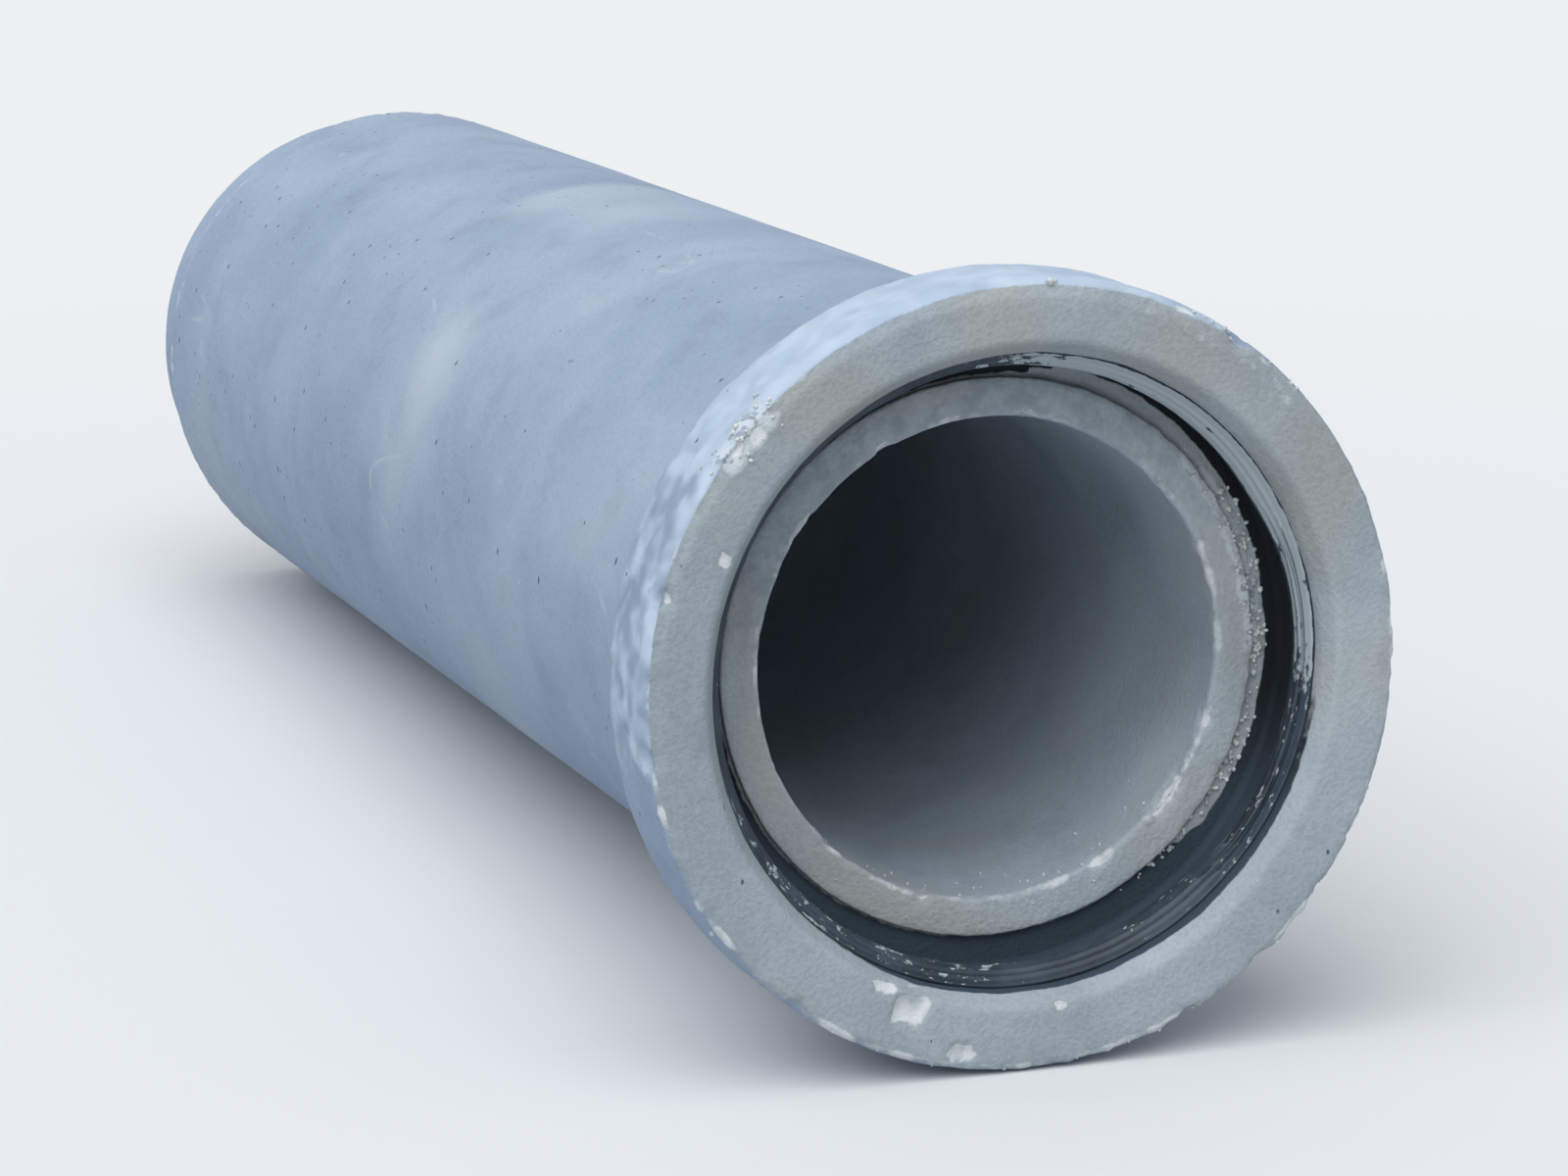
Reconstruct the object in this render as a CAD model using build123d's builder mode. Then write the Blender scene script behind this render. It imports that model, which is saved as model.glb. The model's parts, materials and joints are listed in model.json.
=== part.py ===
from build123d import *
import os
from math import atan2, cos, degrees, sin

os.makedirs("parts", exist_ok=True)

# Concrete drain pipe with a bell at one end and a spigot at the other, and a rubber
# ring cast into the bell. It lies on a level floor along Y, with the bell towards -Y.
# It rests on the back edge of the bell's band and on the far edge of the barrel, so
# its axis drops a little towards the spigot. The origin is at the bottom centre of its box.
# All sizes are in millimetres. "Along" is the distance down the axis from the bell's face.

# Barrel
bore_diameter = 400.0
barrel_wall = 75.0
laying_length = 2000.0  # what one pipe adds to a drain, from its ledge to its spigot face
bore_edge_chamfer = 4.0  # at the ledge and at the spigot's face

# Bell, outside
bell_wall = 63.0  # concrete outside the socket
bell_band_length = 90.0  # straight band behind the face
bell_taper_length = 110.0  # from the band down to the barrel
bell_face_edge_radius = 8.0
bell_band_edge_radius = 12.0
taper_root_radius = 160.0  # hollow curve where the taper meets the barrel

# Socket, inside the bell
socket_depth = 85.0  # from the bell's face to the ledge that stops the next spigot
socket_gap = 6.0  # room all round the next pipe's spigot
mouth_flare = 10.0  # how far the mouth opens beyond the socket's wall
mouth_depth = 16.0
mouth_edge_radius = 8.0
ledge_width = 33.0  # raised ring of the ledge, round the bore
ledge_step = 7.0  # the floor outside that ring lies deeper by this much

# Spigot
spigot_wall = 56.0
spigot_length = 85.0
spigot_nose_radius = 9.0
shoulder_length = 40.0  # cone from the spigot up to the barrel

# Rubber seal
seal_start = 24.0  # along, to the seal's front
seal_length = 36.0
seal_front_height = 3.0
seal_heel_height = 4.0
seal_heel_length = 6.0
seal_lip_height = 14.0  # how far the lip stands in from the socket's wall
seal_lip_land = 8.0  # straight crest of the lip
seal_rib_count = 2
seal_rib_height = 2.5
seal_root_depth = 9.0  # root of the seal, cast into the concrete
seal_root_inset = 8.0  # the root starts this far inside each end of the seal
seal_root_spread = 3.0  # the root widens by this much at its bottom, on each side
seal_clearance = 0.2

# Radii and places that follow from the sizes above
bore_radius = bore_diameter / 2
barrel_radius = bore_radius + barrel_wall
spigot_radius = bore_radius + spigot_wall
socket_radius = spigot_radius + socket_gap
bell_radius = socket_radius + bell_wall
ledge_radius = bore_radius + ledge_width
socket_floor = socket_depth + ledge_step
taper_end = bell_band_length + bell_taper_length
overall_length = socket_depth + laying_length
spigot_start = overall_length - spigot_length
barrel_end = spigot_start - shoulder_length

# How far the axis drops when the band's back edge and the barrel's end touch the floor
rest_drop = atan2(bell_radius - barrel_radius, barrel_end - bell_band_length)
drop_sin = sin(rest_drop)
drop_cos = cos(rest_drop)

# Both ends lean with the axis, which makes the box a little longer than the pipe
bell_overhang = (bell_radius - bell_face_edge_radius) * drop_sin + bell_face_edge_radius * (1 - drop_cos)
spigot_overhang = (spigot_radius - spigot_nose_radius) * drop_sin + spigot_nose_radius * (1 - drop_cos)
box_length = bell_overhang + overall_length * drop_cos + spigot_overhang
face_centre = Vector(
    0,
    bell_overhang - box_length / 2,
    bell_radius * drop_cos + bell_band_length * drop_sin,
)

# In this plane X runs down the pipe's axis and Y is the radius, upwards
pipe_plane = Plane(origin=face_centre, x_dir=(0, drop_cos, -drop_sin), z_dir=(1, 0, 0))
pipe_axis = Axis(face_centre, pipe_plane.x_dir)

# Half section of the casting: along, radius, and the rounding of each corner
pipe_corners = [
    (0, bell_radius, bell_face_edge_radius),
    (bell_band_length, bell_radius, bell_band_edge_radius),
    (taper_end, barrel_radius, taper_root_radius),
    (barrel_end, barrel_radius, 0),
    (spigot_start, spigot_radius, 0),
    (overall_length, spigot_radius, spigot_nose_radius),
    (overall_length, bore_radius, 0),
    (socket_depth, bore_radius, 0),
    (socket_depth, ledge_radius, 0),
    (socket_floor, ledge_radius, 0),
    (socket_floor, socket_radius, 0),
    (mouth_depth, socket_radius, 0),
    (0, socket_radius + mouth_flare, mouth_edge_radius),
]

# Half section of the groove that holds the seal's root
seal_end = seal_start + seal_length
groove_start = seal_start + seal_root_inset
groove_end = seal_end - seal_root_inset
groove_radius = socket_radius + seal_root_depth
groove_corners = [
    (groove_start, socket_radius - seal_front_height),
    (groove_start, socket_radius),
    (groove_start - seal_root_spread, groove_radius),
    (groove_end + seal_root_spread, groove_radius),
    (groove_end, socket_radius),
    (groove_end, socket_radius - seal_front_height),
]

# Half section of the seal: a ramp up to the lip, a short heel behind it, and the root
wall_side = socket_radius - seal_clearance
root_side = groove_radius - seal_clearance
lip_side = socket_radius - seal_lip_height
lip_end = seal_end - seal_heel_length
lip_start = lip_end - seal_lip_land
ramp_foot = Vector(seal_start, socket_radius - seal_front_height)
ramp_top = Vector(lip_start, lip_side)
seal_corners = [
    (seal_start, wall_side),
    (groove_start + seal_clearance, wall_side),
    (groove_start + seal_clearance - seal_root_spread, root_side),
    (groove_end - seal_clearance + seal_root_spread, root_side),
    (groove_end - seal_clearance, wall_side),
    (seal_end, wall_side),
    (seal_end, socket_radius - seal_heel_height),
    (lip_end, lip_side),
    ramp_top,
    ramp_foot,
]
ramp_slope = degrees(atan2(ramp_top.Y - ramp_foot.Y, ramp_top.X - ramp_foot.X))
rib_centres = [
    ramp_foot + (ramp_top - ramp_foot) * ((rib + 1) / (seal_rib_count + 1)) for rib in range(seal_rib_count)
]

# The concrete casting: its section turned about the axis, less the seal's groove
with BuildPart() as concrete_pipe:
    with BuildSketch(pipe_plane) as pipe_section:
        with BuildLine() as pipe_outline:
            FilletPolyline(
                [(along, radius) for along, radius, rounding in pipe_corners],
                radius=[rounding for along, radius, rounding in pipe_corners],
                close=True,
            )
        make_face()
        chamfer(pipe_section.vertices().group_by(Axis.Y)[0], length=bore_edge_chamfer)
    revolve(axis=pipe_axis)
    with BuildSketch(pipe_plane) as groove_section:
        with BuildLine() as groove_outline:
            Polyline(groove_corners, close=True)
        make_face()
    revolve(axis=pipe_axis, mode=Mode.SUBTRACT)

# The rubber ring, with low ribs on its ramp
with BuildPart() as rubber_seal:
    with BuildSketch(pipe_plane) as seal_section:
        with BuildLine() as seal_outline:
            Polyline(seal_corners, close=True)
        make_face()
        with Locations(rib_centres):
            RegularPolygon(radius=seal_rib_height, side_count=4, rotation=ramp_slope)
    revolve(axis=pipe_axis)

concrete_pipe.part.label = "concrete_pipe"
rubber_seal.part.label = "rubber_seal"
export_step(concrete_pipe.part, "parts/concrete_pipe.step")
export_step(rubber_seal.part, "parts/rubber_seal.step")
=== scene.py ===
"""Looks of a concrete drain pipe: its worn casting, its rubber ring and the mortar left in its joint."""

import json
import logging
import math
import random
from dataclasses import dataclass
from enum import Enum
from functools import cached_property
from typing import Callable

import bmesh
import bpy
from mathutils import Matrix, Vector, noise


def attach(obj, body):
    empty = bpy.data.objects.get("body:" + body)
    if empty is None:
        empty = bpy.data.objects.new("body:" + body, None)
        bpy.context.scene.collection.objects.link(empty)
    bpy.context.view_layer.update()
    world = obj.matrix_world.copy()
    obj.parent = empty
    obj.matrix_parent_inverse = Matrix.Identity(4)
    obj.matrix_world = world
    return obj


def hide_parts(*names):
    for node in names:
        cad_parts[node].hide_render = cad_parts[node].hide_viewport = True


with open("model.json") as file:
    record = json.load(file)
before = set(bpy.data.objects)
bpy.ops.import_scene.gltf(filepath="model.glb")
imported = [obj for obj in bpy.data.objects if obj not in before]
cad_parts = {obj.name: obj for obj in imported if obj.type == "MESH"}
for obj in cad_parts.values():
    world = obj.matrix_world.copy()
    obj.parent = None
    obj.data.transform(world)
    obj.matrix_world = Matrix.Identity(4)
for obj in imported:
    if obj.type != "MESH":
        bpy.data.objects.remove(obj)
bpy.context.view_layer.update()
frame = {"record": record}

CIRCLE = 360  # degrees
MERGE_DISTANCE = 1e-5
ON_LINE = 1e-6  # how far off a line a point may be and still count as on it
SEED_SIZE = 0.001  # size of the small plane that a new mesh starts from
LEAST_WEIGHT = 0.004  # below this, relief is left out

Colour = tuple[float, float, float, float]
Triple = tuple[float, float, float]
Piece = bpy.types.Object
Socket = bpy.types.NodeSocket
Range = tuple[float, float]
NONE: Triple = (0.0, 0.0, 0.0)

log = logging.getLogger("pipe")


# ---------------------------------------------------------------- measures and masks


def mount(name: str) -> dict:
    """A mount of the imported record."""
    return next(m for m in frame["record"]["mounts"] if m["name"] == name)


def mount_size(name: str, key: str) -> float:
    """A size of a mount, in metres."""
    return mount(name)["dims"][key] / 1000


def ramp(value: float, low: float, high: float) -> float:
    """Eases from 0 at low to 1 at high, or down where low is the larger."""
    part = min(max((value - low) / (high - low), 0.0), 1.0)
    return part * part * (3 - 2 * part)


def band(value: float, low: float, high: float, soft: float) -> float:
    """1 between low and high, fading to 0 at a distance of soft outside them."""
    return ramp(value, low - soft, low) * ramp(value, high + soft, high)


def apart(clock: float, other: float) -> float:
    """The angle between two clock directions, in degrees: 0 at the top, 90 at the right, from the bell."""
    return abs((clock - other + CIRCLE / 2) % CIRCLE - CIRCLE / 2)


@dataclass(frozen=True)
class Spot:
    """Where a vertex is on the pipe."""

    along: float
    radius: float
    clock: float
    place: Vector

    def arc(self, middle: float, half: float, soft: float) -> float:
        """1 within half of a clock direction, fading to 0 over a further soft, all in degrees."""
        return ramp(apart(self.clock, middle), half + soft, half)

    def patches(self, size: float, seed: float, low: float = 0.35, high: float = 0.65) -> float:
        """Soft patches of a size, which start at the low level of a noise and are full at the high one."""
        level = noise.noise(self.place / size + Vector((seed, 2.7 * seed, -1.3 * seed)))
        return ramp(0.5 + 0.5 * level, low, high)

    def patchy(self, amount: float, least: float, *pattern: float) -> float:
        """Breaks an amount up into patches, and leaves the least share of it between them."""
        return amount and amount * (least + (1 - least) * self.patches(*pattern))


@dataclass(frozen=True)
class PipeAxes:
    """The pipe's axis and its directions in the frame.

    along points from the bell to the spigot, up away from the floor and side to the right, seen from
    the bell.
    """

    face: Vector
    along: Vector
    up: Vector
    side: Vector

    @classmethod
    def from_record(cls) -> "PipeAxes":
        """Reads the axis from the record's socket mount, whose point is half way down the socket."""
        along = -Vector(mount("socket")["axis"]).normalized()
        side = Vector((1, 0, 0))
        face = Vector(mount("socket")["pos_m"]) - along * mount_size("socket", "length_mm") / 2
        return cls(face, along, side.cross(along).normalized(), side)

    def point(self, along: float, radius: float, clock: float = 0.0) -> Vector:
        """The place at a distance along the axis, a radius and a clock direction in degrees."""
        turn = math.radians(clock)
        arm = self.up * math.cos(turn) + self.side * math.sin(turn)
        return self.face + self.along * along + arm * radius

    def spot(self, place: Vector) -> Spot:
        """Where a place of the frame is on the pipe."""
        arm = place - self.face
        side, up = arm.dot(self.side), arm.dot(self.up)
        clock = math.degrees(math.atan2(side, up)) % CIRCLE
        return Spot(arm.dot(self.along), math.hypot(side, up), clock, place)

    def spots(self, piece: Piece) -> list[Spot]:
        """Where each vertex of a piece is on the pipe."""
        return [self.spot(v.co.copy()) for v in piece.data.vertices]

    def drop(self) -> float:
        """How far the axis drops towards the spigot, in degrees."""
        return math.degrees(math.atan2(-self.along.z, self.along.y))


# ---------------------------------------------------------------- modelling steps


def added(name: str) -> Piece:
    """The object that was added last, given its name."""
    piece = bpy.context.object
    piece.name = piece.data.name = name
    return piece


def pick(piece: Piece) -> None:
    """Makes a piece the active object, and the only selected one."""
    bpy.ops.object.select_all(action="DESELECT")
    piece.select_set(True)
    bpy.context.view_layer.objects.active = piece


def start_mesh(name: str) -> Piece:
    """Adds a small plane as the start of a piece, and opens it in edit mode with all of it selected."""
    bpy.ops.mesh.primitive_plane_add(size=SEED_SIZE, location=(0, 0, 0))
    piece = added(name)
    pick(piece)
    bpy.ops.object.mode_set(mode="EDIT")
    bpy.ops.mesh.select_mode(type="VERT")
    bpy.ops.mesh.select_all(action="SELECT")
    return piece


def end_mesh() -> None:
    """Turns all faces outwards, shades them smooth and leaves edit mode."""
    bpy.ops.mesh.select_all(action="SELECT")
    bpy.ops.mesh.normals_make_consistent(inside=False)
    bpy.ops.mesh.faces_shade_smooth()
    bpy.ops.object.mode_set(mode="OBJECT")


@dataclass(frozen=True)
class Corner:
    """A corner of a half section.

    rounding is the radius of its curve, and spacing how far apart the rings lie on the run that follows it.
    """

    along: float
    radius: float
    rounding: float = 0.0
    spacing: float = 0.01
    curve_steps: int = 4


@dataclass
class TurnedSection:
    """A closed half section that is drawn corner by corner and turned about the pipe's axis.

    A run is divided where it is longer than its spacing by longest_step. The section is turned through one
    of the sectors step by step, and the sector is then copied round.
    """

    name: str
    corners: list[Corner]
    steps: int
    axes: PipeAxes
    longest_step: float = 1.3
    sectors: int = 8

    def place(self, corner: Corner) -> Vector:
        """The corner's point above the axis."""
        return self.axes.point(corner.along, corner.radius)

    def runs(self) -> list[tuple[Corner, Corner]]:
        """The corners at both ends of each straight run."""
        return list(zip(self.corners, self.corners[1:] + self.corners[:1]))

    def draw(self) -> Piece:
        """Draws the section as a closed chain of edges.

        Returns:
            The new object, in edit mode.
        """
        piece = start_mesh(self.name)
        bpy.ops.mesh.merge(type="CENTER")
        bpy.ops.transform.translate(value=self.place(self.corners[0]))
        for here, there in self.runs():
            step = {"value": self.place(there) - self.place(here)}
            bpy.ops.mesh.extrude_region_move(TRANSFORM_OT_translate=step)
        bpy.ops.mesh.select_all(action="SELECT")
        bpy.ops.mesh.remove_doubles(threshold=MERGE_DISTANCE)
        return piece

    def select_corner(self, piece: Piece, corner: Corner) -> None:
        """Selects the vertex at a corner, and nothing else."""
        bpy.ops.mesh.select_all(action="DESELECT")
        bpy.ops.mesh.select_mode(type="VERT")
        chain = bmesh.from_edit_mesh(piece.data)
        place = self.place(corner)
        min(chain.verts, key=lambda v: (v.co - place).length).select = True
        bmesh.update_edit_mesh(piece.data)

    def round_corners(self, piece: Piece) -> None:
        """Rounds each corner that has a rounding."""
        for i, corner in enumerate(self.corners):
            if not corner.rounding:
                continue
            here = self.place(corner)
            back = self.place(self.corners[i - 1]) - here
            ahead = self.place(self.corners[(i + 1) % len(self.corners)]) - here
            turned = math.pi - back.normalized().angle(ahead.normalized())
            self.select_corner(piece, corner)
            bpy.ops.mesh.bevel(
                offset=corner.rounding * math.tan(turned / 2),
                offset_type="OFFSET",
                segments=corner.curve_steps,
                profile=0.5,
                affect="VERTICES",
            )

    def divide_runs(self, piece: Piece) -> None:
        """Divides each straight run into steps of its spacing."""
        for here, there in self.runs():
            start, end = self.place(here), self.place(there)
            way = (end - start).normalized()
            bpy.ops.mesh.select_all(action="DESELECT")
            bpy.ops.mesh.select_mode(type="EDGE")
            chain = bmesh.from_edit_mesh(piece.data)
            cuts = 0
            for edge in chain.edges:
                middle = (edge.verts[0].co + edge.verts[1].co) / 2 - start
                on_run = (middle - way * middle.dot(way)).length < ON_LINE
                within = 0 < middle.dot(way) < (end - start).length
                if on_run and within and edge.calc_length() > self.longest_step * here.spacing:
                    edge.select = True
                    cuts = max(round(edge.calc_length() / here.spacing) - 1, 1)
            bmesh.update_edit_mesh(piece.data)
            if cuts:
                bpy.ops.mesh.subdivide(number_cuts=cuts)

    def turn(self) -> Piece:
        """Draws, rounds and divides the section, and turns it once about the axis.

        Returns:
            The closed piece, smooth shaded, with its faces outwards.
        """
        piece = self.draw()
        self.round_corners(piece)
        self.divide_runs(piece)
        sector = 2 * math.pi / self.sectors
        about = {"center": self.axes.face, "axis": self.axes.along}
        bpy.ops.mesh.select_all(action="SELECT")
        bpy.ops.mesh.spin(steps=self.steps // self.sectors, angle=sector, **about)
        bpy.ops.mesh.select_all(action="SELECT")
        copies = self.sectors - 1
        bpy.ops.mesh.spin(steps=copies, angle=sector * copies, dupli=True, **about)
        bpy.ops.mesh.select_all(action="SELECT")
        bpy.ops.mesh.remove_doubles(threshold=MERGE_DISTANCE)
        end_mesh()
        return piece


class Grain(Enum):
    """Kinds of relief that a surface can be given."""

    LUMPS = "CLOUDS"
    STONES = "VORONOI"
    EVEN = "NONE"


@dataclass(frozen=True)
class Relief:
    """Relief pressed into a piece where its weight says, along the surface's own direction.

    size is that of its grain. A level of 0.5 lets it rise and sink alike, and a higher one only sinks it.
    """

    name: str
    grain: Grain
    size: float
    depth: float
    level: float
    weight: Callable[[Spot], float]
    lumps_depth: int = 2

    def texture(self) -> bpy.types.Texture | None:
        """The relief's pattern, or None where it is even."""
        if self.grain is Grain.EVEN:
            return None
        pattern = bpy.data.textures.new(self.name, self.grain.value)
        pattern.noise_scale = self.size
        if self.grain is Grain.LUMPS:
            pattern.noise_depth = self.lumps_depth
        return pattern

    def press(self, piece: Piece, spots: list[Spot]) -> None:
        """Paints the relief's weights on a piece and applies it.

        Args:
            piece: The piece, in object mode.
            spots: Where each of its vertices is.
        """
        group = piece.vertex_groups.new(name=self.name)
        for index, spot in enumerate(spots):
            weight = self.weight(spot)
            if weight > LEAST_WEIGHT:
                group.add([index], min(weight, 1.0), "REPLACE")
        press = piece.modifiers.new(self.name, "DISPLACE")
        press.texture = self.texture()
        press.texture_coords = "LOCAL"
        press.direction = "NORMAL"
        press.vertex_group = group.name
        press.strength = self.depth
        press.mid_level = self.level
        pick(piece)
        bpy.ops.object.modifier_apply(modifier=press.name)
        piece.vertex_groups.remove(piece.vertex_groups[self.name])


def paint(piece: Piece, name: str, spots: list[Spot], amount: Callable[[Spot], float]) -> None:
    """Stores a painted amount for each vertex, which the materials read by its name.

    Args:
        piece: The piece.
        name: Name of the painted layer.
        spots: Where each vertex is.
        amount: Gives the amount, from 0 to 1, at a spot.
    """
    layer = piece.data.attributes.new(name, "FLOAT", "POINT")
    layer.data.foreach_set("value", [min(max(amount(spot), 0.0), 1.0) for spot in spots])


# ---------------------------------------------------------------- finishes


def tone(red: int, green: int, blue: int) -> Colour:
    """A colour as a screen shows it, from 0 to 255, turned into the linear one that a shader takes."""

    def linear(level: int) -> float:
        """One channel, made linear."""
        part = level / 255
        return part / 12.92 if part <= 0.04045 else ((part + 0.055) / 1.055) ** 2.4

    return linear(red), linear(green), linear(blue), 1.0


class NodeBench:
    """The nodes of a material or a world, with short ways to add and join them."""

    def __init__(self, owner: bpy.types.Material | bpy.types.World) -> None:
        """Clears the owner's nodes.

        Args:
            owner: The material or the world.
        """
        owner.use_nodes = True
        self.owner = owner
        self.tree = owner.node_tree
        self.tree.nodes.clear()

    @cached_property
    def where(self) -> Socket:
        """Object coordinates."""
        return self.add("ShaderNodeTexCoord").outputs["Object"]

    def add(self, kind: str, sockets: dict | None = None, **settings: object) -> bpy.types.Node:
        """Adds a node.

        Args:
            kind: The node's type.
            sockets: For each input's name or number, its value or the output that feeds it.
            **settings: The node's own settings.

        Returns:
            The new node.
        """
        node = self.tree.nodes.new(kind)
        for key, value in settings.items():
            setattr(node, key, value)
        for key, value in (sockets or {}).items():
            if isinstance(value, Socket):
                self.tree.links.new(value, node.inputs[key])
            else:
                node.inputs[key].default_value = value
        return node

    def maths(self, step: str, a: object, b: object = 0.0) -> Socket:
        """One step of arithmetic on two numbers or outputs."""
        return self.add("ShaderNodeMath", {0: a, 1: b}, operation=step).outputs[0]

    def times(self, product: object, *factors: object) -> Socket:
        """The product of numbers or outputs."""
        for factor in factors:
            product = self.maths("MULTIPLY", product, factor)
        return product

    def spread(self, value: Socket, low: float, high: float, start: float = 0.0, end: float = 1.0) -> Socket:
        """Eases a number from start, where value is low, to end, where it is high."""
        sockets = {"Value": value, "From Min": low, "From Max": high, "To Min": start, "To Max": end}
        return self.add("ShaderNodeMapRange", sockets, interpolation_type="SMOOTHSTEP").outputs[0]

    def blend(self, share: object, first: object, second: object) -> Socket:
        """Mixes two colours by a share."""
        return self.add("ShaderNodeMix", {0: share, 6: first, 7: second}, data_type="RGBA").outputs[2]

    def painted(self, name: str) -> Socket:
        """The amount painted on the piece under a name."""
        return self.add("ShaderNodeAttribute", attribute_name=name).outputs["Fac"]

    def ragged(self, layer: str, noise_level: Socket, reach: float, soft: float) -> Socket:
        """Cuts a soft painted layer off along a wavy border.

        Args:
            layer: Name of the layer, whose amount passes 0.5 at the border.
            noise_level: Noise that pushes the border to and fro.
            reach: How strongly it does so.
            soft: Half of the border's width, in units of the amount.

        Returns:
            0 outside and 1 inside.
        """
        push = self.times(self.maths("SUBTRACT", noise_level, 0.5), reach)
        return self.spread(self.maths("ADD", self.painted(layer), push), 0.5 - soft, 0.5 + soft)

    def grain(self, scale: float, detail: float, rough: float, where: Socket | None = None) -> Socket:
        """Soft noise of a scale, in bumps to the metre."""
        sockets = {"Vector": where or self.where, "Scale": scale, "Detail": detail, "Roughness": rough}
        return self.add("ShaderNodeTexNoise", sockets).outputs[0]

    def turned(self, scale: Triple = (1, 1, 1), turn: Triple = NONE, shift: Triple = NONE) -> Socket:
        """The coordinates, shifted, turned and stretched."""
        sockets = {"Vector": self.where, "Location": shift, "Rotation": turn, "Scale": scale}
        return self.add("ShaderNodeMapping", sockets).outputs[0]

    def seen(self) -> Socket:
        """1 for rays from the eye, also by way of a reflection, and 0 for light on its way."""
        path = self.add("ShaderNodeLightPath").outputs
        straight = self.maths("MAXIMUM", path["Is Camera Ray"], path["Is Glossy Ray"])
        return self.maths("MAXIMUM", straight, path["Is Transmission Ray"])

    def surface(self, colour: Socket, rough: Socket, height: Socket, bump: float, specular: float) -> None:
        """Ends a material with a matt surface.

        Args:
            colour: Its colour.
            rough: Its roughness.
            height: The height of its bumps, in metres.
            bump: The strength of the bumps.
            specular: How strongly it reflects.
        """
        sockets = {"Base Color": colour, "Roughness": rough, "Specular IOR Level": specular}
        normal = self.add("ShaderNodeBump", {"Height": height, "Distance": 1.0, "Strength": bump})
        sockets["Normal"] = normal.outputs[0]
        self.finish(self.add("ShaderNodeBsdfPrincipled", sockets))

    def finish(self, shader: bpy.types.Node) -> None:
        """Joins a shader to the output of the material or the world."""
        kind = "World" if isinstance(self.owner, bpy.types.World) else "Material"
        self.add(f"ShaderNodeOutput{kind}", {"Surface": shader.outputs[0]})


class ConcreteBench(NodeBench):
    """The concrete's nodes, with the layer and the noises that several steps share."""

    def __init__(self, name: str) -> None:
        """Starts the material, and adds what its steps share."""
        super().__init__(bpy.data.materials.new(name))
        self.skin = self.painted("skin")
        self.blotchy = self.grain(15.0, 3.0, 0.62, self.turned((1.0, 0.7, 1.0), shift=(4.0, 1.0, 2.0)))
        self.sandy = self.grain(230.0, 1.0, 0.7)
        self.stones = self.grain(62.0, 3.0, 0.66)
        self.coarse = self.grain(34.0, 3.0, 0.62)


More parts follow.
